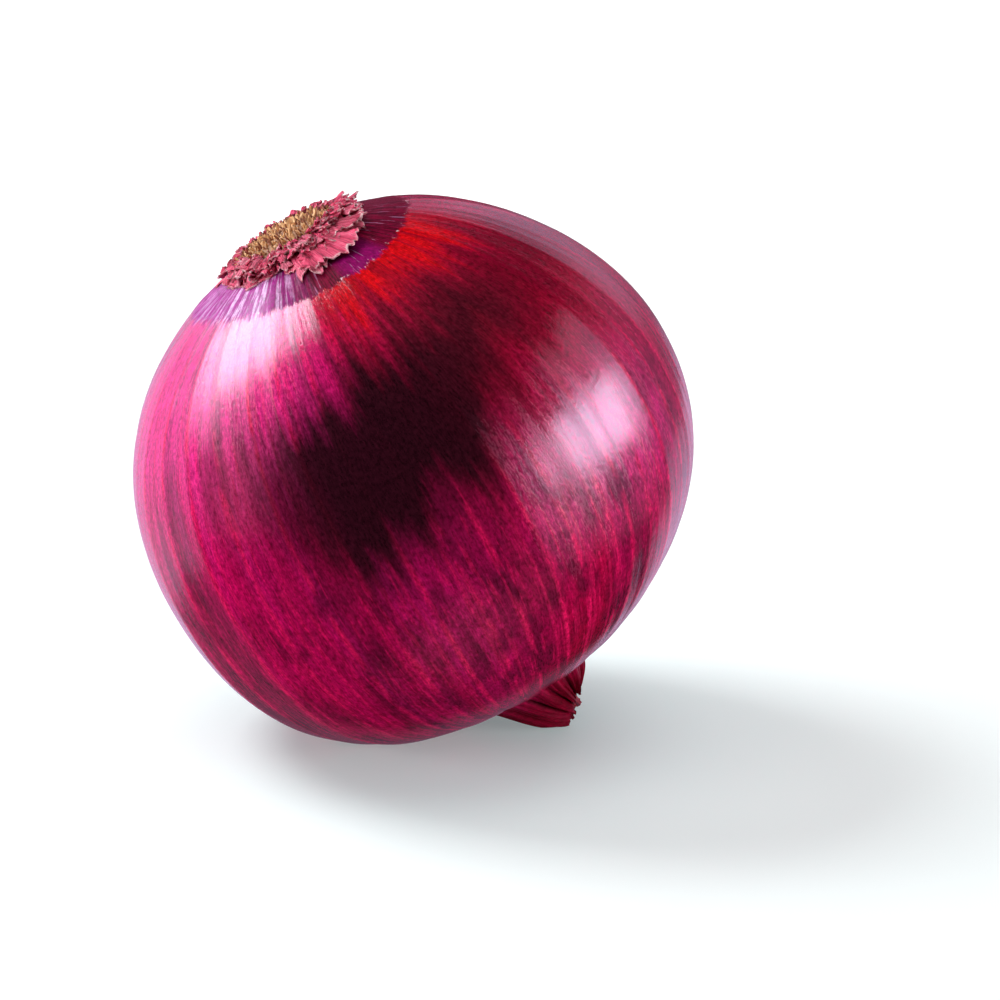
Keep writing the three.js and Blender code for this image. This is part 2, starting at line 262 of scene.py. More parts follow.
class Outline:
    """The bulb's outline from the rim of the root seat to the rim of the cut neck, by share of its length."""

    def __init__(self, steps=4000):
        first = np.linspace(0, 0.5, steps)
        start = math.asin((SEAT_RADIUS / BULB_RADIUS) ** (ROOT_SHAPE / 2))
        turn = start + (math.pi / 2 - start) * 2 * first
        upper_r = BULB_RADIUS * np.sin(turn) ** (2 / ROOT_SHAPE)
        upper_h = ROOT_HEIGHT * np.maximum(np.cos(turn), 0) ** (2 / ROOT_SHAPE)
        lower_h = -NECK_TIP * np.linspace(0, 1, steps)[1:]
        self.radius = np.concatenate([upper_r, outline_radius(lower_h)])
        self.height = np.concatenate([upper_h, lower_h])
        length = np.hypot(np.diff(self.radius), np.diff(self.height))
        self.share = np.concatenate([[0], np.cumsum(length)])
        self.share /= self.share[-1]

    def at(self, share):
        return np.interp(share, self.share, self.radius), np.interp(share, self.share, self.height)

    def tangent(self, share, reach=0.0015):
        r0, h0 = self.at(np.maximum(share - reach, 0))
        r1, h1 = self.at(np.minimum(share + reach, 1))
        length = np.hypot(r1 - r0, h1 - h0)
        return (r1 - r0) / length, (h1 - h0) / length

    def share_at_height(self, height):
        return np.interp(-np.asarray(height), -self.height, self.share)


OUTLINE = Outline()


def uneven_wave(rng, *pairs):
    """A wave round the axis: the sum of a few cosines with drawn phases, from pairs of count and size."""
    terms = [(count, size, rng.uniform(0, TAU)) for count, size in pairs]
    return lambda angle: sum(s * np.cos(n * angle + p) for n, s, p in terms)


class SkinPanels:
    """The panels of dry skin between its veins, each nearly flat, leaning and of its own tone."""

    def __init__(self, rng, veins):
        column = TAU / AROUND
        angles, levels = np.array(veins).T
        self.veins = np.rint(np.mod(np.radians(angles), TAU) / column) * column
        order = np.argsort(self.veins)
        self.veins, self.levels = self.veins[order], levels[order]
        self.tones = np.array([rng.uniform(0, 1) for _ in veins])

    def place(self, angle):
        """The panel at an angle: its number, half its width, and the angle from its middle."""
        around = np.mod(np.asarray(angle) + 1e-4, TAU)
        panel = np.searchsorted(self.veins, around) % len(self.veins)
        after = self.veins[panel]
        before = self.veins[panel - 1]
        half = np.mod(after - before, TAU) / 2
        return panel, half, np.mod(around - before, TAU) - half

    def level(self, angle):
        """How far the skin leans in and out from vein to vein."""
        return np.interp(np.mod(angle, TAU), self.veins, self.levels, period=TAU)

    def sag(self, angle):
        """How far a flat panel lies inside the round skin."""
        _, half, aside = self.place(angle)
        return BULB_RADIUS * (np.cos(half) / np.cos(aside) - 1)

    def tone(self, angle):
        return self.tones[self.place(angle)[0]]

    def vein_distance(self, angle):
        """Degrees to the nearest vein."""
        _, half, aside = self.place(angle)
        return np.degrees(half - np.abs(aside))


def settle(points):
    """Turns points of the onion's own frame, in millimetres, to where they lie on the table, in metres."""
    x, y, z = np.moveaxis(np.asarray(points, float), -1, 0)
    across = x * math.cos(TILT) - z * math.sin(TILT) + MIDDLE[0]
    up = x * math.sin(TILT) + z * math.cos(TILT) + MIDDLE[2]
    lain = vectors(across, y + MIDDLE[1], up)
    lain[..., 2] = np.maximum(lain[..., 2], 0)
    return lain * MM


# Mesh tools


def leave_edit_mode():
    if bpy.context.object and bpy.context.object.mode != "OBJECT":
        bpy.ops.object.mode_set(mode="OBJECT")
    bpy.ops.object.select_all(action="DESELECT")


def pick(obj):
    leave_edit_mode()
    obj.select_set(True)
    bpy.context.view_layer.objects.active = obj


def face_outward():
    """Turns the faces of the mesh in edit mode outward, and leaves edit mode."""
    bpy.ops.mesh.select_all(action="SELECT")
    bpy.ops.mesh.normals_make_consistent(inside=False)
    bpy.ops.object.mode_set(mode="OBJECT")


def points_of(obj):
    flat = np.empty(len(obj.data.vertices) * 3)
    obj.data.vertices.foreach_get("co", flat)
    return flat.reshape(-1, 3)


def move_points(obj, points):
    obj.data.vertices.foreach_set("co", np.asarray(points, float).ravel())
    obj.data.update()


def write_attribute(obj, name, values):
    """Stores a vector for each point of the mesh."""
    attribute = obj.data.attributes.new(name, "FLOAT_VECTOR", "POINT")
    attribute.data.foreach_set("vector", np.asarray(values, float).ravel())


def turned_body(name, profile, steps):
    """Draws a profile point by point and spins it round the Z axis into a closed body."""
    leave_edit_mode()
    bpy.ops.mesh.primitive_plane_add(size=2 * MM, location=profile[0])
    obj = bpy.context.object
    obj.name = obj.data.name = name
    bpy.ops.object.mode_set(mode="EDIT")
    bpy.ops.mesh.select_all(action="SELECT")
    bpy.ops.mesh.merge(type="CENTER")
    for start, end in zip(profile, profile[1:]):
        bpy.ops.mesh.extrude_region_move(TRANSFORM_OT_translate={"value": Vector(end) - Vector(start)})
    bpy.ops.mesh.select_all(action="SELECT")
    bpy.ops.mesh.spin(steps=steps, angle=TAU, center=(0, 0, 0), axis=(0, 0, 1))
    bpy.ops.mesh.select_all(action="SELECT")
    bpy.ops.mesh.remove_doubles(threshold=1e-6)
    face_outward()
    bpy.ops.object.transform_apply()
    return obj


def turned(points, turn):
    return points @ np.array(turn.to_3x3()).T + np.array(turn.translation)


def thicken(obj, thickness):
    """Gives a sheet its thickness, half of it on each side."""
    pick(obj)
    modifier = obj.modifiers.new("Thickness", "SOLIDIFY")
    modifier.thickness = thickness
    modifier.offset = 0
    bpy.ops.object.modifier_apply(modifier=modifier.name)


def join(pieces, name):
    leave_edit_mode()
    for piece in pieces:
        piece.select_set(True)
    bpy.context.view_layer.objects.active = pieces[0]
    bpy.ops.object.join()
    obj = bpy.context.object
    obj.name = obj.data.name = name
    return obj


def finish_piece(obj, material, slot, *nodes):
    """Smooths a piece, gives it its material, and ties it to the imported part."""
    pick(obj)
    bpy.ops.object.shade_smooth_by_angle(angle=CREASE_ANGLE)
    obj.data.materials.clear()
    obj.data.materials.append(material)
    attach(obj, "root")
    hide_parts(*nodes)


# Shader tools


class Field:
    """A socket of a shader, for use in expressions."""

    def __init__(self, shader, socket):
        self.shader = shader
        self.socket = socket

    def _math(self, operation, a, b):
        return self.shader.node("ShaderNodeMath", {0: a, 1: b}, operation=operation)

    def __add__(self, other):
        return self._math("ADD", self, other)

    def __radd__(self, other):
        return self._math("ADD", other, self)

    def __sub__(self, other):
        return self._math("SUBTRACT", self, other)

    def __rsub__(self, other):
        return self._math("SUBTRACT", other, self)

    def __mul__(self, other):
        return self._math("MULTIPLY", self, other)

    def __rmul__(self, other):
        return self._math("MULTIPLY", other, self)

    def smooth(self, low, high):
        """Runs from 0 at low to 1 at high with soft ends, or the other way round where low is the larger."""
        ends = (0.0, 1.0) if low < high else (1.0, 0.0)
        low, high = sorted((low, high))
        feeds = {"Value": self, "From Min": low, "From Max": high, "To Min": ends[0], "To Max": ends[1]}
        return self.shader.node("ShaderNodeMapRange", feeds, interpolation_type="SMOOTHSTEP")


class Shader:
    """The nodes of one material, or of the world."""

    def __init__(self, owner):
        self.owner = owner
        owner.use_nodes = True
        self.tree = owner.node_tree
        self.tree.nodes.clear()

    def node(self, kind, feeds=None, output=0, **settings):
        """Adds a node: its settings first, then the values or links of its sockets. Returns an output."""
        node = self.tree.nodes.new(kind)
        for key, value in settings.items():
            setattr(node, key, value)
        for key, value in (feeds or {}).items():
            if isinstance(value, Field):
                self.tree.links.new(value.socket, node.inputs[key])
            else:
                node.inputs[key].default_value = value
        return Field(self, node.outputs[output])

    def attribute(self, name):
        return self.node("ShaderNodeAttribute", output="Vector", attribute_name=name)

    def parts(self, vector):
        node = self.node("ShaderNodeSeparateXYZ", {0: vector}).socket.node
        return [Field(self, socket) for socket in node.outputs]

    def vector(self, x, y, z):
        return self.node("ShaderNodeCombineXYZ", {0: x, 1: y, 2: z})

    def where(self):
        """The place of a point on its piece, in metres."""
        return self.node("ShaderNodeTexCoord", output="Object")

    def noise(self, vector, scale, detail=2.0, roughness=0.5):
        feeds = {"Vector": vector, "Scale": scale, "Detail": detail, "Roughness": roughness}
        return self.node("ShaderNodeTexNoise", feeds, output="Fac")

    def mix(self, share, a, b, blend="MIX"):
        a, b = (value if isinstance(value, Field) else (*value, 1.0) for value in (a, b))
        feeds = {0: share, 6: a, 7: b}
        return self.node("ShaderNodeMix", feeds, output=2, data_type="RGBA", blend_type=blend)

    def paint(self, colour, *layers):
        """Lays tints over a colour in turn, each by its own mask."""
        for mask, tint in layers:
            colour = self.mix(mask, colour, tint)
        return colour

    def bump(self, height, distance, strength):
        return self.node("ShaderNodeBump", {"Height": height, "Distance": distance, "Strength": strength})

    def coat(self, **feeds):
        """A Principled shader, whose sockets are named with spaces for underscores."""
        named = {key.replace("_", " "): value for key, value in feeds.items()}
        return self.node("ShaderNodeBsdfPrincipled", named)

    def surface(self, **feeds):
        """Ends the material in one Principled shader."""
        self.end(self.coat(**feeds), "ShaderNodeOutputMaterial")
        return self.owner

    def end(self, shader, kind):
        output = self.tree.nodes.new(kind)
        self.tree.links.new(shader.socket, output.inputs["Surface"])


# Settings


def colour_setting(name, description, default):
    return bpy.props.FloatVectorProperty(
        name=name, description=description, default=default, subtype="COLOR", size=3, min=0, max=1
    )


def length_setting(name, description, default):
    return bpy.props.FloatProperty(name=name, description=description, default=default, unit="LENGTH", min=0)


class OnionSizes(bpy.types.PropertyGroup):
    """Sizes of the skin, the collar and the roots."""

    torn_edge_jag: length_setting("Torn edge jags", "Size of the jags of the outer skin's torn edge", 0.00016)
    skin_step: length_setting("Skin step", "How far the inner skin lies below the outer skin", 0.00007)
    panel_relief: length_setting("Panel relief", "How far the skin's panels stand in and out", 0.00017)
    fold_depth: length_setting("Fold depth", "Depth of the folds of the neck", 0.0010)
    flake_thickness: length_setting("Flake thickness", "Thickness of the torn skin flakes", 0.00022)
    stub_count: bpy.props.IntProperty(
        name="Root stubs", description="Number of dry root stubs on the plate", default=420, min=1)


class OnionColours(bpy.types.PropertyGroup):
    """Colours of the skins and the roots."""

    crimson: colour_setting("Crimson", "Main colour of the outer skin", (0.50, 0.001, 0.045))
    scarlet: colour_setting("Scarlet", "Thin skin close to the root end", (0.62, 0.001, 0.005))
    magenta: colour_setting("Magenta", "Cooler streaks of the outer skin", (0.56, 0.004, 0.13))
    bright: colour_setting("Bright", "Thin bright lines of the outer skin", (0.70, 0.006, 0.09))
    # Pink-violet of the upper left: partly the skin's own, partly painted sheen round the left gleam.
    orchid_and_sheen: colour_setting("Orchid", "Pink-violet skin on the upper left", (0.76, 0.025, 0.24))
    # Maroon is the skin's own deep colour, and also the right end of the painted shade across the middle.
    maroon: colour_setting("Maroon", "Deep skin on the side that the neck leans to", (0.15, 0.0004, 0.012))
    # The darkest patch is partly the skin's own and partly painted shade where the bulb faces the camera.
    blush_and_painted_shade: colour_setting("Dark blush", "Darkest patch of the skin", (0.028, 0.003, 0.008))
    plum: colour_setting("Plum", "Dark streaks and patches", (0.085, 0.003, 0.022))
    violet: colour_setting("Violet", "Inner skin below the collar", (0.30, 0.008, 0.19))
    lilac: colour_setting("Lilac", "Pale streaks of the inner skin", (0.64, 0.36, 0.62))
    red: colour_setting("Deep red", "Deep red skin round the scarlet", (0.30, 0.0006, 0.014))
    neck_red: colour_setting("Neck", "Ridges of the neck", (0.13, 0.0006, 0.008))
    # Painted shade in the hollows of the neck's folds.
    painted_crease_shade: colour_setting("Crease", "Creases of the neck", (0.012, 0.0002, 0.002))
    flake_pink: colour_setting("Flake pink", "Torn skin flakes", (0.74, 0.05, 0.14))
    # Painted shade at the roots of the flakes, and over the cap they grow from.
    painted_flake_shade: colour_setting("Flake dark", "Shaded roots of the flakes", (0.10, 0.004, 0.016))
    # Pale tint: bleached flakes, and painted sheen on the flakes of the left side.
    flake_pale_and_sheen: colour_setting("Flake pale", "Bleached flakes", (0.95, 0.36, 0.46))
    straw: colour_setting("Straw", "Pale root stubs", (0.92, 0.56, 0.28))
    bark: colour_setting("Bark", "Dark root stubs", (0.30, 0.10, 0.05))


def power_setting(name, description, default):
    return bpy.props.FloatProperty(name=name, description=description, default=default, unit="POWER", min=0)


class StudioSettings(bpy.types.PropertyGroup):
    """Light and floor."""

    key_box: power_setting("Key light", "High on the left, casts the shadow", 20)
    side_light: power_setting("Side light", "Low on the left", 26)
    right_light: power_setting("Right light", "Low on the right", 22)
    table_bounce: power_setting("Bounce", "Thrown back from the table in front", 9)
    overhead_light: power_setting("Overhead light", "Even light from above", 16)
    left_gloss: power_setting("Left gloss", "Gleam on the left of the bulb", 46)
    left_gloss_low: power_setting("Low left gloss", "Dimmer foot of that gleam", 6)
    left_halo: power_setting("Left halo", "Dim light round the left gleam", 11)
    right_gloss: power_setting("Right gloss", "Gleam on the right of the bulb", 40)
    right_gloss_high: power_setting("High right gloss", "Dimmer head of that gleam", 3.5)
    right_halo: power_setting("Right halo", "Dim light round the right gleam", 3.5)
    right_wall: power_setting("Right wall", "Pale wall on the right, seen in the edges", 2.0)
    high_wall: power_setting("High wall", "Pale wall behind, seen in the upper edge", 1.5)
    low_wall: power_setting("Low wall", "Pale foot of the right wall, seen in the edges", 1.5)
    table_gleam: power_setting("Table gleam", "Pale table behind, seen in the lower edges", 1.2)
    # The floor's glow, graded round the onion into painted shadow.
    floor_glow: bpy.props.FloatProperty(
        name="Floor glow", description="Light of the table itself round the onion", default=0.38, min=0)
    floor_colour: colour_setting("Floor", "Colour of the floor", (0.71, 0.78, 0.78))


# The bulb's skin


class BulbForm:
    """The bulb's surface with its panels, folds and torn edge."""

    def __init__(self, sizes):
        rng = random.Random(SKIN_SEED)
        self.step = sizes.skin_step / MM
        self.fold_depth = sizes.fold_depth / MM
        self.relief = sizes.panel_relief / MM
        self.edge_jag = sizes.torn_edge_jag / MM
        self.panels = SkinPanels(rng, VEINS)
        fine = np.cumsum([rng.uniform(0.6, 1.4) for _ in range(FINE_VEINS)])
        self.fine_panels = SkinPanels(rng, [(a / fine[-1] * 360, rng.uniform(-1, 1)) for a in fine])
        self.swell = uneven_wave(rng, (5, 0.1), (8, 0.07), (11, 0.06))
        self.edge = uneven_wave(rng, (13, 0.4), (31, 0.4), (47, 0.35), (83, 0.35), (131, 0.3))
        self.spread = uneven_wave(rng, (2, 0.35), (5, 0.25))
        self.fine_spread = uneven_wave(rng, (3, 0.5), (7, 0.4))
        self.jag = uneven_wave(rng, (7, 0.3), (19, 0.3), (33, 0.25), (61, 0.2), (97, 0.15))

    def torn_share(self, angle):
        around, height = np.array(TORN_EDGE).T
        spread = (-12, -6, 0, 6, 12)
        near = [np.interp(np.degrees(angle) + aside, around, height, period=360) for aside in spread]
        level = sum(near) / len(spread)
        return OUTLINE.share_at_height(level + self.edge_jag * self.edge(angle))

    def fold(self, angle):
        """The neck's folds: 0 in a crease, 1 on a ridge."""
        return np.abs(np.sin(NECK_FOLDS * angle / 2 + self.spread(angle)))

    def point(self, share, angle, lift):
        radius, height = OUTLINE.at(share)
        slope_r, slope_h = OUTLINE.tangent(share)
        on_body = smooth(share, 0.02, 0.09) * (1 - smooth(-height, NECK_HEIGHT - 6, NECK_HEIGHT + 1))
        on_neck = smooth(-height, NECK_START - 4, NECK_TIP - 2)
        tip = smooth(-height, NECK_START + 2, NECK_TIP)
        down = smooth(share, 0.35, 0.75)
        level = self.panels.level(angle) * (1 - 0.5 * down) + 0.4 * self.fine_panels.level(angle)
        panels = self.relief * level + 0.5 * self.panels.sag(angle)
        fold = self.fold(angle) - 0.6
        fine = np.abs(np.sin(FINE_NECK_FOLDS * angle / 2 + self.fine_spread(angle))) - 0.6
        out = lift + on_body * radius / BULB_RADIUS * (panels + self.swell(angle))
        out = out + on_neck * self.fold_depth * (fold + 0.3 * fine)
        cut = tip * (CUT_SLANT * np.cos(angle) + 0.75 * self.jag(angle))
        r = radius - slope_h * out
        return round_axis(r, angle, height + slope_r * out + cut) + section_middle(height)


def bulb_rings():
    """Rings of the skin from the pole under the collar to the middle of the cut neck, as kind and place."""
    rings = [("seat", r) for r in (0, 4, 8)]
    rings += [("inner", along) for along in np.linspace(0, 1, INNER_RINGS)]
    rings += [("outer", along) for along in np.linspace(0, 1, BODY_RINGS)[1:] ** 0.96]
    rings += [("cut", r) for r in (0.86, 0.7, 0.5, 0.25, 0)]
    return rings


def ring_points(form, kind, place, angle):
    """Points of one ring, their share of the outline's length, and how much of each is neck."""
    torn = form.torn_share(angle)
    if kind == "seat":
        return round_axis(place, angle, SEAT_HEIGHT) + section_middle(SEAT_HEIGHT), 0, 0
    if kind == "inner":
        lift = -form.step * smooth(place, 0, 0.4) * (1 - smooth(place, 0.8, 1))
        return form.point(torn * place, angle, lift), torn * place, 0
    if kind == "outer":
        share = torn + (1 - torn) * place
        _, height = OUTLINE.at(share)
        return form.point(share, angle, 0.0), share, smooth(-height, NECK_START - 3, NECK_TIP - 3)
    deep = -NECK_TIP + CUT_HOLLOW * 1.6 * (1 - place ** 2)
    deep = deep + place * (CUT_SLANT * np.cos(angle) + 0.4 * form.jag(angle))
    return round_axis(place * NECK_TIP_RADIUS, angle, deep) + section_middle(-NECK_TIP), 1, 1


def outer_skin(sizes):
    """Spins the bulb's outline and draws its skin into panels, a torn edge and a folded neck."""
    form = BulbForm(sizes)
    rings = bulb_rings()
    # The rings are spun as a plain dish first, so that each point's ring can be read from its radius.
    last = len(rings) - 1
    dish = [(k * MM, 0, 0) for k in range(last)] + [(0, 0, MM)]
    obj = turned_body("outer_skin", dish, AROUND)
    spun = points_of(obj) / MM
    angle = np.arctan2(spun[:, 1], spun[:, 0])
    ring = np.rint(np.hypot(spun[:, 0], spun[:, 1])).astype(int)
    ring[spun[:, 2] > 0.5] = last
    points, skin_map, skin_zone, skin_panel = np.zeros((4, *spun.shape))
    for k, (kind, place) in enumerate(rings):
        at = ring == k
        around = angle[at]
        points[at], share, neck = ring_points(form, kind, place, around)
        skin_map[at] = round_axis(1, around, share)
        skin_zone[at] = vectors(share - form.torn_share(around), neck, form.fold(around))
        skin_panel[at] = vectors(form.panels.tone(around), form.panels.vein_distance(around),
                                 form.fine_panels.vein_distance(around))
    move_points(obj, settle(points))
    write_attribute(obj, "skin_map", skin_map)
    write_attribute(obj, "skin_zone", skin_zone)
    write_attribute(obj, "skin_panel", skin_panel)
    pick(obj)
    bpy.ops.object.mode_set(mode="EDIT")
    face_outward()
    return obj


def skin_material(colours):
    """Dry skin: panels, streaks and fibres along the bulb, plum patches, and a bare band at the root end."""
    s = Shader(bpy.data.materials.new("dry_onion_skin"))
    c, n, share = s.parts(s.attribute("skin_map"))
    past_edge, neck, fold = s.parts(s.attribute("skin_zone"))
    tone, vein_distance, fine_distance = s.parts(s.attribute("skin_panel"))

    def streaks(stretch, scale, detail=2.0, roughness=0.5, offset=0.0):
        return s.noise(s.vector(c + offset, n, share * stretch), scale, detail, roughness)

    def toward(degrees):
        """How close a point is to a direction round the axis: 1 there, -1 on the other side."""
        return c * math.cos(math.radians(degrees)) + n * math.sin(math.radians(degrees))

    broad = streaks(0.3, 3.1, 2.0)
    bands = streaks(0.3, 9.0, 3.0, offset=3.0)
    stripes = streaks(0.22, 26.0, 3.0, 0.6, offset=5.0)
    lines = streaks(0.25, 70.0, 2.0, offset=7.0)
    mottle = streaks(1.5, 11.0, 5.0, 0.62, offset=17.0)
    fibres = streaks(0.8, 150.0, 3.0, 0.65, offset=11.0)
    grain = s.noise(s.where(), 1500.0, 3.0, 0.7)
    uneven = share + (bands - 0.5) * 0.16 + (stripes - 0.5) * 0.12
    uneven = uneven + (mottle - 0.5) * 0.08 + (tone - 0.5) * 0.05

    left = toward(-150).smooth(0.1, 0.8)
    lower = share.smooth(0.3, 0.5)
    leaning = toward(-40).smooth(0.3, 0.9)
    # Pink-violet of the upper left: partly the skin's own colour, partly painted sheen round the left gleam.
    orchid_and_sheen = toward(-135).smooth(0.6, 0.92) * (share + (stripes - 0.5) * 0.2).smooth(0.4, 0.22)
    # Pink round the right gleam: a painted highlight.
    glow = toward(-42).smooth(0.86, 0.98) * share.smooth(0.3, 0.42) * share.smooth(0.6, 0.5)
    vein = vein_distance.smooth(1.1, 0.1) * mottle.smooth(0.62, 0.42)
    fine_vein = fine_distance.smooth(0.7, 0.1) * bands.smooth(0.56, 0.44)
    colour = s.paint(
        s.mix(broad.smooth(0.44, 0.56) * 0.5 + left * 0.5, colours.crimson, colours.magenta),
        (orchid_and_sheen * 0.7, colours.orchid_and_sheen),
        # painted highlight: pink round the right gleam
        (glow * 0.6, colours.orchid_and_sheen),
        (share.smooth(0.5, 0.75) * (0.3 + 0.25 * leaning), colours.maroon),
        (tone.smooth(0.4, 1.0) * 0.35, colours.maroon),
        (stripes.smooth(0.5, 0.62) * 0.25, colours.maroon),
        (bands.smooth(0.5, 0.62) * 0.5, colours.plum),
        (mottle.smooth(0.4, 0.7) * lower * 0.75, colours.plum),
        (lines.smooth(0.52, 0.66) * 0.2, colours.plum),
        (lines.smooth(0.44, 0.34) * 0.4, colours.bright),
        (vein * 0.8 + fine_vein * 0.35, colours.bright),
    )

    red = toward(-35).smooth(0.6, 0.95) * uneven.smooth(0.5, 0.3)
    middle = toward(-88).smooth(0.8, 1.0)
    # The dark band across the middle, maroon on the right and darkest where the bulb faces the camera, is
    # partly the skin's own dark patch and partly painted shade.
    early = (uneven + toward(-20).smooth(0.6, 1.0) * 0.035).smooth(0.15, 0.27)
    late = (uneven - 0.13 * middle).smooth(0.37, 0.25)
    dark = s.mix(toward(-80).smooth(0.62, 0.88), colours.maroon, colours.blush_and_painted_shade)
    scarlet = toward(-48).smooth(0.74, 0.95) * uneven.smooth(0.19, 0.1)
    colour = s.paint(
        colour,
        (red * 0.8, colours.red),
        (early * late * toward(-55).smooth(0.15, 0.75) * (0.84 + 0.15 * middle), dark),
        (scarlet, colours.scarlet),
        (stripes.smooth(0.46, 0.6) * scarlet * 0.6, colours.maroon),
        (neck * 0.9, colours.neck_red),
        # painted shade in the hollows of the neck's folds
        (neck * fold.smooth(0.45, 0.05) * 0.85, colours.painted_crease_shade),
    )

    pale = streaks(0.5, 30.0, 3.0, 0.65, offset=23.0)
    # The inner skin's pale lilac streaks are its own; toward -116 degrees, under the left gleam, they are
    # made paler as a painted highlight.
    painted_highlight_weight = 0.55 + 0.45 * toward(-116).smooth(0.88, 0.97)
    sheen = s.mix(pale.smooth(0.47, 0.6) * painted_highlight_weight, colours.violet, colours.lilac)
    bare = s.paint(
        s.mix(lines.smooth(0.45, 0.6), BAND_WINE, BAND_DUSK),
        (toward(-56).smooth(0.97, 0.995) * 0.7, BAND_MAUVE),
        (pale.smooth(0.62, 0.68) * 0.6, BAND_FLECK),
        ((toward(-150) + (bands - 0.5) * 0.5).smooth(0.3, 0.8), sheen),
    )
    soft = 1.0 - 0.6 * toward(-130).smooth(0.75, 0.95)
    ragged = past_edge * soft + (fibres - 0.5) * 0.016 + (lines - 0.5) * 0.012 + (stripes - 0.5) * 0.012
    bareness = ragged.smooth(0.004, -0.003)
    fringe = ragged.smooth(-0.004, -0.001) * ragged.smooth(0.003, 0.0) * grain.smooth(0.52, 0.62)
    colour = s.paint(colour, (bareness, bare), (fringe * stripes.smooth(0.5, 0.6) * 0.6, FRINGE))
    speckle = s.mix((grain - 0.5) * 1.7 + (fibres - 0.5) * 2.2 + 0.5, SPECK_DARK, SPECK_LIGHT)
    colour = s.mix(1.0, colour, speckle, blend="MULTIPLY")

    relief = bands * 0.6 + stripes * 0.4 + fibres * 0.22 + grain * 0.2
    normal = s.bump(relief, 0.00014, 0.8)
    gleaming = toward(-42).smooth(0.8, 0.95) * share.smooth(0.3, 0.38) * share.smooth(0.64, 0.56)
    gleaming = gleaming + toward(-118).smooth(0.86, 0.96) * share.smooth(0.3, 0.2)
    worn = (stripes.smooth(0.42, 0.62) * 0.12 + fibres.smooth(0.4, 0.6) * 0.08) * (0.15 + 0.85 * gleaming)
    glossy = s.coat(Base_Color=colour, Roughness=0.12 + worn + 0.04 * grain, Normal=normal, IOR=1.45)
    dull = s.coat(Base_Color=colour, Roughness=0.35 + 0.15 * fibres, Normal=normal, Specular_IOR_Level=0.02)
    matt = bareness * (1.0 - 0.4 * toward(-140).smooth(0.7, 0.9)) + neck
    s.end(s.node("ShaderNodeMixShader", {0: matt.smooth(0.0, 1.0), 1: glossy, 2: dull}),
          "ShaderNodeOutputMaterial")
    return s.owner


# Torn flakes


def flake(rng, *, width, length, curl, cup, wrinkle, jag, columns, rows, flare=0.3, tone=None):
    """One flake of dry skin, in millimetres: a wrinkled blade along +Y with a torn end."""
    draw = rng.uniform
    leave_edit_mode()
    bpy.ops.mesh.primitive_grid_add(x_subdivisions=columns, y_subdivisions=rows, size=2)
    obj = bpy.context.object
    u, v = points_of(obj)[:, 0], (points_of(obj)[:, 1] + 1) / 2
    teeth = np.array([draw(-1, 1) for _ in range(columns + 1)])
    coarse = np.array([draw(-1, 1) for _ in range(4)])
    sides = np.array([draw(-1, 1) for _ in range(2 * rows + 2)])
    lean = draw(-0.2, 0.2)
    place = (u + 1) / 2
    torn = np.interp(place, np.linspace(0, 1, columns + 1), teeth)
    torn = jag * (0.6 * torn + 1.1 * np.interp(place, np.linspace(0, 1, 4), coarse)) - 0.25 * np.abs(u) ** 3
    reach = v * length * (1 + v * torn)
    edge = np.where(u > 0, np.interp(v, np.linspace(0, 1, rows + 1), sides[:rows + 1]),
                    np.interp(v, np.linspace(0, 1, rows + 1), sides[rows + 1:]))
    spread = width / 2 * (1 - flare + 2 * flare * np.sqrt(v)) * (1 + 0.14 * edge * np.abs(u) ** 4)
    turn = curl * reach / length
    if abs(curl) > 1e-3:
        forward, drop = length * np.sin(turn) / curl, length * (1 - np.cos(turn)) / curl
    else:
        forward, drop = reach, 0 * reach
    folds = [(draw(4, 15), draw(0, TAU), draw(0.4, 1)) for _ in range(3)]
    wave = sum(size * np.sin(count * u + phase) for count, phase, size in folds)
    height = -drop - cup * width * u * u + wrinkle * wave * (0.25 + v)
    move_points(obj, vectors(spread * u + lean * forward, forward, height))
    tone = draw(0, 1) if tone is None else tone
    write_attribute(obj, "flake_map", vectors(u * width / 2, v, tone))
    return obj


def place_flake(obj, *, angle, radius, height, dip, roll=0.0):
    """The points of a flake that starts at a radius and height and leans outward, dipping by an angle."""
    turn = Matrix.Rotation(angle - math.pi / 2, 4, "Z") @ Matrix.Translation((0, radius, height))
    return turned(points_of(obj), turn @ Matrix.Rotation(-dip, 4, "X") @ Matrix.Rotation(roll, 4, "Y"))


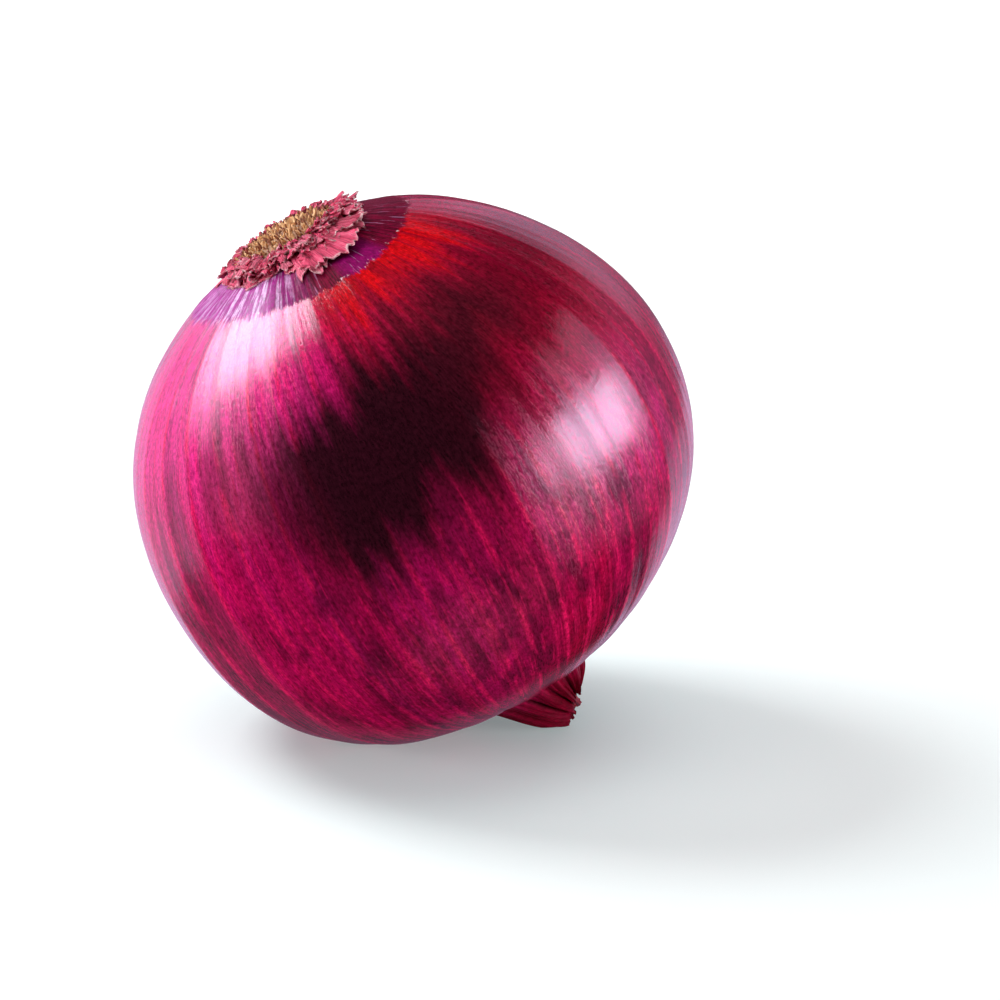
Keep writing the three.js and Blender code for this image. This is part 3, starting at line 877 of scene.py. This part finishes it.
def collar_flakes(sizes):
    """Tiers of torn skin bases round the root end, scraps among them and one broad pleated flap."""
    rng = random.Random(COLLAR_SEED)
    draw = rng.uniform
    base = SEAT_HEIGHT + 0.3
    middle = section_middle(SEAT_HEIGHT)
    pieces = []
    for number, (count, out, up, reach, width, dip, curl) in enumerate(COLLAR_TIERS):
        small = number in SMALL_TIERS
        for k in range(count):
            angle = TAU * (k + draw(-0.35, 0.35)) / count
            near = max(0.0, math.cos(angle - LONG_SIDE)) ** 4
            # Flakes of the left side are pushed toward the pale tint as painted sheen.
            pale = max(0.0, math.cos(angle - PAINTED_SHEEN_SIDE)) ** 2
            start = out * (1 + 0.1 * near) + draw(-0.3, 0.3)
            tip = (COLLAR_REACH + LONG_SIDE_REACH * near) * reach
            obj = flake(
                rng, width=width * draw(0.6, 1.3),
                length=max(tip - start, 0.9) * draw(0.75, 1.15),
                curl=curl + draw(-0.35, 0.35), cup=draw(-0.12, 0.15),
                wrinkle=draw(0.08, 0.2), jag=draw(0.15, 0.4), flare=draw(0.05, 0.35),
                columns=6 if small else 12, rows=5 if small else 8, tone=draw(0, 1) + 0.6 * pale)
            points = place_flake(
                obj, angle=angle + draw(-0.12, 0.12) * (1 + small), radius=start,
                height=base + up + draw(-0.15, 0.15), dip=dip + draw(-0.22, 0.2) * (1 + small),
                roll=draw(-0.35, 0.35) * (1 + small))
            pieces.append(lay_clear(obj, points, middle))
    for _ in range(SCRAPS):
        angle = LONG_SIDE + draw(-1, 1) * (1.2 + 1.9 * rng.random() ** 3)
        near = max(0.0, math.cos(angle - LONG_SIDE)) ** 4
        start = draw(8.0, 10.2 + near)
        obj = flake(
            rng, width=draw(0.7, 1.7), length=draw(0.9, 1.9), curl=draw(-0.5, 0.5),
            cup=draw(-0.2, 0.2), wrinkle=draw(0.05, 0.14), jag=0.4, columns=5, rows=5,
            tone=draw(0, 1))
        points = place_flake(obj, angle=angle + draw(-0.3, 0.3), radius=start,
                             height=base + 2.1 - 0.42 * (start - 7.6), dip=draw(-0.15, 0.55),
                             roll=draw(-0.6, 0.6))
        pieces.append(lay_clear(obj, points, middle))
    obj = flake(rng, width=6.6, length=5.6, curl=0.3, cup=0.03, wrinkle=0.24, jag=0.14, columns=28, rows=16,
                flare=0.45, tone=0.6)
    points = place_flake(obj, angle=LONG_SIDE, radius=10.4, height=base + 0.9, dip=0.24)
    pieces.append(lay_clear(obj, points, middle, gap=0.35))
    collar = join(pieces, "torn_collar")
    thicken(collar, sizes.flake_thickness)
    return collar


def lay_clear(obj, points, middle, gap=0.12):
    """Lifts a placed flake off the bulb where it would sink in, and lays it down with the onion."""
    radius = np.hypot(points[:, 0], points[:, 1])
    clear = root_side_height(np.clip(radius, SEAT_RADIUS, BULB_RADIUS - 1)) + gap
    points[:, 2] = np.where(radius > 9.6, np.maximum(points[:, 2], clear), points[:, 2])
    move_points(obj, settle(points + middle))
    return obj


def collar_core():
    """The rough cap that the flakes grow from."""
    base = SEAT_HEIGHT + 0.05
    top = COLLAR_TOP - 0.7
    profile = [(0, base), (SEAT_RADIUS - 1.2, base), (SEAT_RADIUS - 1, base + 0.5), (9.6, base + 1.1),
               (9.0, COLLAR_TOP - 0.5), (8.4, COLLAR_TOP - 0.3), (8.0, top), (0, top)]
    obj = turned_body("collar_core", [(r * MM, 0, z * MM) for r, z in profile], 120)
    points = points_of(obj) / MM
    angle = np.arctan2(points[:, 1], points[:, 0])
    rng = random.Random(CORE_SEED)
    wave = uneven_wave(rng, (9, 0.12), (23, 0.1), (37, 0.1))
    rough = wave(angle) * (np.hypot(points[:, 0], points[:, 1]) > 8.2)
    points[:, 0] += rough * np.cos(angle)
    points[:, 1] += rough * np.sin(angle)
    move_points(obj, settle(points + section_middle(SEAT_HEIGHT)))
    # The cap's along is 0 everywhere, so it takes the flakes' painted root shade all over.
    write_attribute(obj, "flake_map", vectors(angle * 9, 0, 0))
    return obj


def flake_material(colours):
    """Papery torn skin: pink-red, with painted shade at its root and in the troughs of its wrinkles, painted
    highlight on their ridges, and paler at the torn end.
    """
    s = Shader(bpy.data.materials.new("torn_onion_skin"))
    across, along, tone = s.parts(s.attribute("flake_map"))
    grain = s.noise(s.vector(across * 3.0, along * 0.9, tone * 9.0), 3.2, 4.0, 0.65)
    spots = s.noise(s.where(), 1400.0, 3.0, 0.6)
    pleats = s.noise(s.vector(across * 1.2, along * 0.12, tone * 9.0), 6.0, 3.0, 0.6)
    colour = s.paint(
        # Each flake darkens toward its root: painted shade where it tucks under the flakes above it.
        s.mix(along.smooth(0.0, 0.35), colours.painted_flake_shade, colours.flake_pink),
        (tone.smooth(0.35, 0.0) * 0.6, FLAKE_DEEP),
        # pale tint: bleached flakes at random, and painted sheen on the left side
        (tone.smooth(0.6, 1.3) * 0.8, colours.flake_pale_and_sheen),
        # painted shade in the troughs of the pleats and painted highlight on their ridges
        (pleats.smooth(0.5, 0.62) * 0.65, PAINTED_PLEAT_SHADE),
        (pleats.smooth(0.46, 0.36) * 0.5, PAINTED_PLEAT_HIGHLIGHT),
        (grain.smooth(0.52, 0.66) * 0.5, GRAIN_DARK),
        (grain.smooth(0.48, 0.34) * 0.4, GRAIN_LIGHT),
        (along.smooth(0.9, 1.0) * spots.smooth(0.4, 0.6) * 0.8, FLAKE_TIP),
    )
    normal = s.bump(grain * 0.6 + spots * 0.3 - pleats * 0.6, 0.0003, 1.0)
    return s.surface(Base_Color=colour, Roughness=0.6 + 0.2 * grain, Normal=normal, Specular_IOR_Level=0.2)


# Dry roots


def root_stub(rng):
    """One dry root stub: a tapered, broken-off stalk, extruded twice from a small disc. In millimetres."""
    draw = rng.uniform
    leave_edit_mode()
    bpy.ops.mesh.primitive_cylinder_add(vertices=6, radius=1, depth=1, end_fill_type="TRIFAN",
                                        location=(0, 0, 0.5))
    obj = bpy.context.object
    bpy.ops.object.transform_apply()
    bpy.ops.object.mode_set(mode="EDIT")
    bpy.ops.mesh.select_all(action="DESELECT")
    bpy.ops.object.mode_set(mode="OBJECT")
    for face in obj.data.polygons:
        face.select = face.normal.z > 0.9
    for vertex in obj.data.vertices:
        vertex.select = vertex.co.z > 0.9
    bpy.ops.object.mode_set(mode="EDIT")
    for lift, shrink in ((0.8, 0.8), (0.5, 0.6)):
        side = draw(-0.35, 0.35), draw(-0.35, 0.35)
        bpy.ops.mesh.extrude_region_move(TRANSFORM_OT_translate={"value": (*side, lift)})
        bpy.ops.transform.resize(value=(shrink, shrink, 1))
    bpy.ops.object.mode_set(mode="OBJECT")
    return obj


def root_plate(sizes):
    """The dome of the root plate, covered with copies of a few stubs, each with its own size and lean."""
    rng = random.Random(ROOT_SEED)
    draw = rng.uniform
    models = [root_stub(rng) for _ in range(STUB_KINDS)]
    middle = section_middle(SEAT_HEIGHT)
    base = COLLAR_TOP - 0.6
    edge = PLATE_RADIUS - 0.1

    def dome(radius):
        return base + 0.35 + 1.2 * (1 - (radius / edge) ** 2)

    profile = [(0, base - 0.2), (edge, base - 0.2), (edge + 0.1, base + 0.3)]
    profile += [(r * edge, dome(r * edge)) for r in (0.9, 0.75, 0.6, 0.45, 0.3, 0.15, 0)]
    plate = turned_body("root_plate_skin", [(r * MM, 0, z * MM) for r, z in profile], 64)
    points = points_of(plate) / MM
    noise = np.sin(points[:, 0] * 5.1) * np.cos(points[:, 1] * 4.3)
    points[:, 2] += 0.12 * noise * (points[:, 2] > base)
    move_points(plate, settle(points + middle))
    write_attribute(plate, "root_map", vectors(points[:, 0], 0, 0))
    pieces = [plate]
    golden = math.pi * (3 - math.sqrt(5))
    for k in range(sizes.stub_count):
        radius = STUB_REACH * math.sqrt((k + 0.5) / sizes.stub_count)
        angle = k * golden + draw(-0.2, 0.2)
        model = models[k % len(models)]
        obj = model.copy()
        obj.data = model.data.copy()
        bpy.context.collection.objects.link(obj)
        thick, tall = draw(0.1, 0.3), draw(0.25, 0.65)
        shape = points_of(obj) * (thick, thick * draw(0.6, 1), tall)
        turn = Matrix.Rotation(angle, 4, "Z") @ Matrix.Translation((radius, 0, dome(radius) - 0.3))
        turn = turn @ Matrix.Rotation(draw(-0.5, 0.7) + 0.3 * radius / edge, 4, "Y")
        turn = turn @ Matrix.Rotation(draw(-0.5, 0.5), 4, "X")
        turn = turn @ Matrix.Rotation(draw(0, TAU), 4, "Z")
        along = shape[:, 2] / shape[:, 2].max()
        tone = draw(0, 1) + 0.7 * (radius / edge) ** 3
        move_points(obj, settle(turned(shape, turn) + middle))
        write_attribute(obj, "root_map", vectors(shape[:, 0], along, tone))
        pieces.append(obj)
    for model in models:
        bpy.data.objects.remove(model)
    return join(pieces, "dry_roots")


def root_material(colours):
    """Dry root fibre: straw to bark, with painted shade at the foot of each stub."""
    s = Shader(bpy.data.materials.new("dry_root_fibre"))
    _, along, tone = s.parts(s.attribute("root_map"))
    spots = s.noise(s.where(), 1600.0, 4.0, 0.65)
    colour = s.paint(
        s.mix(tone.smooth(0.4, 1.0), colours.straw, colours.bark),
        (tone.smooth(1.0, 1.3) * 0.8, ROOT_RED),
        (spots.smooth(0.5, 0.7) * 0.5, ROOT_BROWN),
        # painted shade at the foot of each stub, down among the others
        (along.smooth(0.5, 0.0) * 0.7, ROOT_FOOT_SHADE),
    )
    normal = s.bump(spots, 0.0003, 0.8)
    return s.surface(Base_Color=colour, Roughness=0.7 + 0.2 * spots, Normal=normal)


# Neck skins


def neck_layers(sizes):
    """Torn ends of the skin layers in the cut neck, and one tongue of skin under it."""
    rng = random.Random(CUT_SEED)
    draw = rng.uniform
    middle = section_middle(-NECK_TIP)
    pieces = []
    rows = ((11, 1.85, 1.5, 1.2), (7, 1.2, 1.7, 1.1), (4, 0.6, 1.6, 0.8))
    for count, radius, length, width in rows:
        for k in range(count):
            angle = TAU * (k + draw(-0.25, 0.25)) / count
            obj = flake(rng, width=width, length=length * draw(0.6, 1.15), curl=draw(-0.4, 0.5),
                        cup=0.15, wrinkle=0.06, jag=0.3, columns=6, rows=6)
            rim = -NECK_TIP + 0.9 + CUT_SLANT * radius * math.cos(angle) / NECK_TIP_RADIUS
            points = place_flake(obj, angle=angle, radius=radius, height=rim, dip=math.pi / 2 - 0.05)
            move_points(obj, settle(points + middle))
            pieces.append(obj)
    tongue = flake(rng, width=2.4, length=5.2, curl=0.0, cup=0.06, wrinkle=0.05, jag=0.15,
                   columns=10, rows=12)
    points = place_flake(tongue, angle=math.pi, radius=3.9, height=0.5 - NECK_TIP, dip=math.pi - TILT)
    move_points(tongue, settle(points))
    pieces.append(tongue)
    layers = join(pieces, "neck_layers")
    thicken(layers, sizes.flake_thickness * 0.8)
    return layers


def neck_material():
    """Dry skin of the layers in the cut neck: deep crimson and brown in its grain, with painted shade at the
    foot of each layer.
    """
    s = Shader(bpy.data.materials.new("dry_neck_skin"))
    across, along, tone = s.parts(s.attribute("flake_map"))
    grain = s.noise(s.vector(across * 4.0, along * 0.6, tone * 9.0), 3.0, 3.0, 0.6)
    colour = s.mix(grain.smooth(0.42, 0.6), CUT_RED, CUT_BROWN)
    # painted shade at the foot of each layer, deep in the cut
    colour = s.mix(along.smooth(0.4, 0.0) * 0.7, colour, CUT_FOOT_SHADE)
    normal = s.bump(grain, 0.0002, 0.8)
    return s.surface(Base_Color=colour, Roughness=0.55 + 0.15 * grain, Normal=normal, Specular_IOR_Level=0.25)


# Operators


class ONION_OT_bulb(bpy.types.Operator):
    """Makes the bulb's outer skin with its neck and the bare band at the root end"""

    bl_idname = "onion.bulb"
    bl_label = "Bulb skin"

    def execute(self, context):
        obj = outer_skin(context.scene.onion_sizes)
        finish_piece(obj, skin_material(context.scene.onion_colours), "onion_skin", "bulb")
        return {"FINISHED"}


class ONION_OT_neck(bpy.types.Operator):
    """Makes the torn skin layers in the cut neck"""

    bl_idname = "onion.neck"
    bl_label = "Neck layers"

    def execute(self, context):
        obj = neck_layers(context.scene.onion_sizes)
        finish_piece(obj, neck_material(), "onion_skin", "bulb")
        return {"FINISHED"}


class ONION_OT_collar(bpy.types.Operator):
    """Makes the collar of torn skin flakes round the root end"""

    bl_idname = "onion.collar"
    bl_label = "Torn collar"

    def execute(self, context):
        material = flake_material(context.scene.onion_colours)
        finish_piece(collar_core(), material, "torn_skin", "skin_collar")
        finish_piece(collar_flakes(context.scene.onion_sizes), material, "torn_skin", "skin_collar")
        return {"FINISHED"}


class ONION_OT_roots(bpy.types.Operator):
    """Makes the plate of dry root stubs"""

    bl_idname = "onion.roots"
    bl_label = "Dry roots"

    def execute(self, context):
        obj = root_plate(context.scene.onion_sizes)
        finish_piece(obj, root_material(context.scene.onion_colours), "dry_roots", "root_plate")
        return {"FINISHED"}


def soft_box(name, azimuth, elevation, size, tint, power):
    """A light aimed at the onion, which shades it or is seen in its gloss."""
    azimuth, elevation = math.radians(azimuth), math.radians(elevation)
    level = math.cos(elevation)
    away = Vector((level * math.cos(azimuth), level * math.sin(azimuth), math.sin(elevation)))
    bpy.ops.object.light_add(type="AREA", location=away * LIGHT_DISTANCE + LIGHT_AIM)
    light = bpy.context.object
    light.name = name
    light.rotation_euler = away.to_track_quat("Z", "Y").to_euler()
    light.data.shape = "RECTANGLE"
    light.data.size, light.data.size_y = size
    light.data.energy = power
    light.data.color = tint
    light.visible_camera = False
    light.visible_diffuse = tint == WHITE
    light.visible_glossy = tint != WHITE


def studio_world():
    """A dim room."""
    world = bpy.data.worlds.new("dim_room")
    bpy.context.scene.world = world
    s = Shader(world)
    s.end(s.node("ShaderNodeBackground", {"Color": (0.9, 0.95, 1.0, 1.0), "Strength": 0.012}),
          "ShaderNodeOutputWorld")


def photo_camera():
    """The camera of the photograph, with the onion left of centre."""
    middle = Vector(MIDDLE) * MM
    away = Vector((0, -math.cos(CAMERA_ELEVATION), math.sin(CAMERA_ELEVATION)))
    place = middle + CAMERA_DISTANCE * away
    aim = (middle - place).to_track_quat("-Z", "Y").to_matrix().to_4x4()
    aim = aim @ Matrix.Rotation(-math.atan((PICTURE_MIDDLE - ONION_ACROSS) / FOCAL_LENGTH), 4, "Y")
    aim = aim @ Matrix.Rotation(-math.atan((PICTURE_MIDDLE - ONION_DOWN) / FOCAL_LENGTH), 4, "X")
    bpy.ops.object.camera_add(location=place, rotation=aim.to_euler())
    camera = bpy.context.object
    camera.name = "photo_camera"
    camera.data.sensor_width = SENSOR_WIDTH
    camera.data.lens = SENSOR_WIDTH * FOCAL_LENGTH / PICTURE_WIDTH
    camera.data.clip_start, camera.data.clip_end = 0.05, 10
    bpy.context.scene.camera = camera


class ONION_OT_stage(bpy.types.Operator):
    """Makes the floor, the lights and the camera"""

    bl_idname = "onion.stage"
    bl_label = "Stage"

    def execute(self, context):
        studio = context.scene.onion_studio
        leave_edit_mode()
        bpy.ops.mesh.primitive_plane_add(size=FLOOR_SIZE, location=(0, 0, 0))
        floor = context.object
        floor.name = "floor"
        s = Shader(bpy.data.materials.new("pale_floor"))
        tone = s.noise(s.where(), 6.0, 2.0)
        pale = s.mix(tone * 0.02, studio.floor_colour, (0.5, 0.5, 0.5))
        away = s.node("ShaderNodeVectorMath", {0: s.where()}, output="Value", operation="LENGTH")
        # The floor's glow: dimmer right round the onion as a painted contact shadow, dimmer again past some 8
        # cm as painted shadow at the far end of the cast shadow, less red close by to cancel the onion's red
        # light on it, and white far off.
        level = studio.floor_glow * (0.55 + 0.5 * away.smooth(0.0, 0.045) - 0.25 * away.smooth(0.035, 0.08))
        near = s.vector(level * (0.8 + 0.2 * away.smooth(0.02, 0.08)), level, level)
        glow = s.mix(away.smooth(0.14, 0.75), near, (1.0, 1.0, 1.0))
        floor.data.materials.append(s.surface(
            Base_Color=pale, Roughness=0.7, Specular_IOR_Level=0.2,
            Emission_Color=glow, Emission_Strength=1.0))
        floor.visible_diffuse = floor.visible_glossy = floor.visible_shadow = False
        for name, *settings in LIGHTS:
            soft_box(name, *settings, power=getattr(studio, name))
        studio_world()
        photo_camera()
        context.scene.view_settings.view_transform = "Standard"
        return {"FINISHED"}


class ONION_PT_panel(bpy.types.Panel):
    """Lists the onion's settings and the operators that make it"""

    bl_idname = "ONION_PT_panel"
    bl_label = "Red onion"
    bl_space_type = "VIEW_3D"
    bl_region_type = "UI"
    bl_category = "Onion"

    def draw(self, context):
        layout = self.layout
        for group in (context.scene.onion_sizes, context.scene.onion_colours, context.scene.onion_studio):
            for key in group.__annotations__:
                layout.prop(group, key)
        for step in STEPS:
            layout.operator(step.bl_idname)


STEPS = (ONION_OT_bulb, ONION_OT_neck, ONION_OT_collar, ONION_OT_roots, ONION_OT_stage)
GROUPS = {"onion_sizes": OnionSizes, "onion_colours": OnionColours, "onion_studio": StudioSettings}


def register():
    for cls in (*GROUPS.values(), *STEPS, ONION_PT_panel):
        bpy.utils.register_class(cls)
    for name, group in GROUPS.items():
        setattr(bpy.types.Scene, name, bpy.props.PointerProperty(type=group))


def unregister():
    for name in GROUPS:
        delattr(bpy.types.Scene, name)
    for cls in (ONION_PT_panel, *reversed(STEPS), *reversed(GROUPS.values())):
        bpy.utils.unregister_class(cls)


def main():
    """Makes the whole onion and its stage."""
    register()
    bpy.ops.onion.bulb()
    bpy.ops.onion.neck()
    bpy.ops.onion.collar()
    bpy.ops.onion.roots()
    bpy.ops.onion.stage()


if __name__ == "__main__":
    main()
